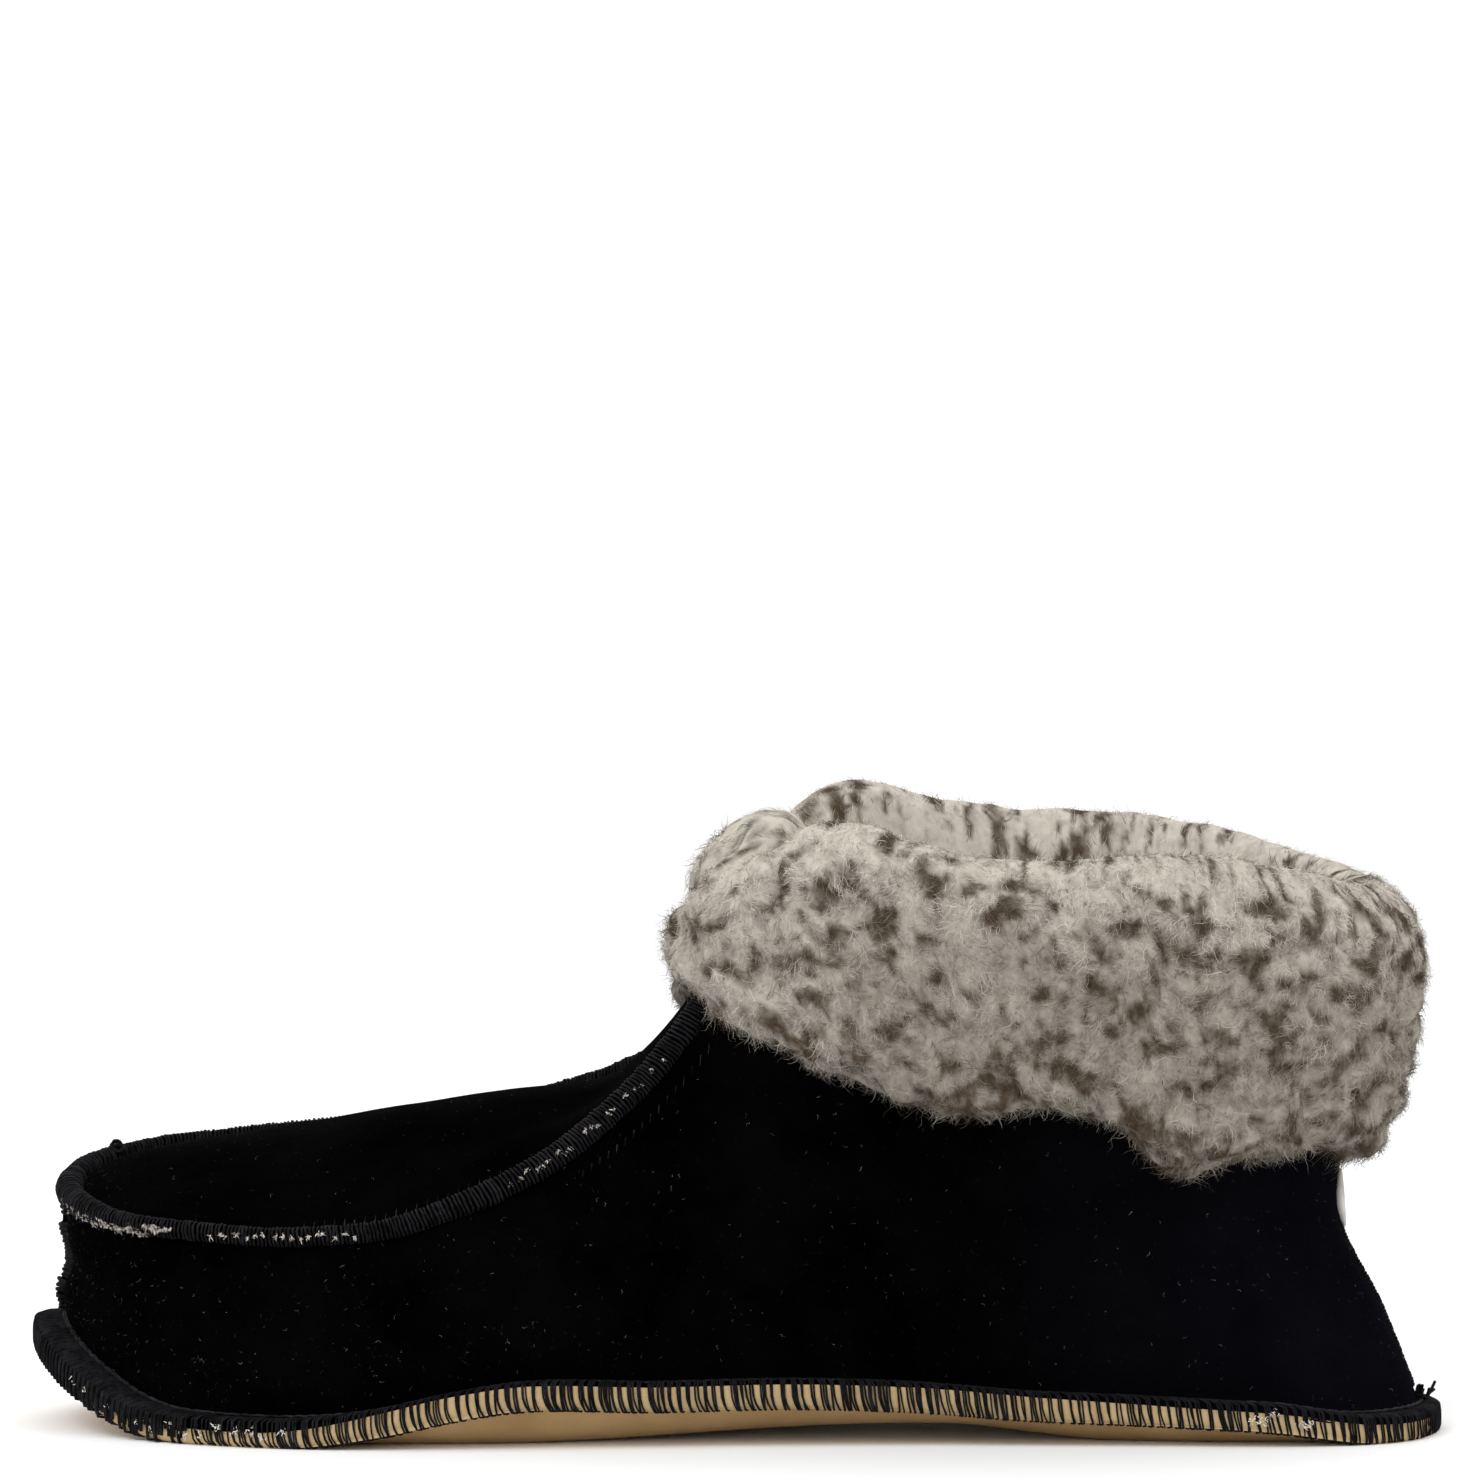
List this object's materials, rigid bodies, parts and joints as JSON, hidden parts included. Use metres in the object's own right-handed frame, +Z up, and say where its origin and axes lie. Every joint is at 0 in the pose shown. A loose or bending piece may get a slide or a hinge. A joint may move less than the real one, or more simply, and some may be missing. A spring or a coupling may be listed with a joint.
{
  "type": "sheepskin slipper boot",
  "caption": "Low slipper boot in black suede with a raised apron seam, a soft leather sole sewn round its edge and a turned-down fleece cuff; left foot.",
  "frame": {"origin": "on the floor under the middle of the heel, on the flat of the sole", "axes": "+Z up, toe toward -X, outer side of the foot toward -Y"},
  "size_m": [0.2809, 0.1098, 0.1257],
  "materials": {
    "suede": "black suede with a short nap",
    "sole_leather": "tan leather, flesh side out, matt",
    "wool_pad": "undyed wool pile",
    "fleece": "pale grey fleece with dark mottles, curled in locks"
  },
  "bodies": {
    "root": {"upper": "suede", "sole": "sole_leather", "insole": "wool_pad", "cuff": "fleece"}
  },
  "joints": []
}
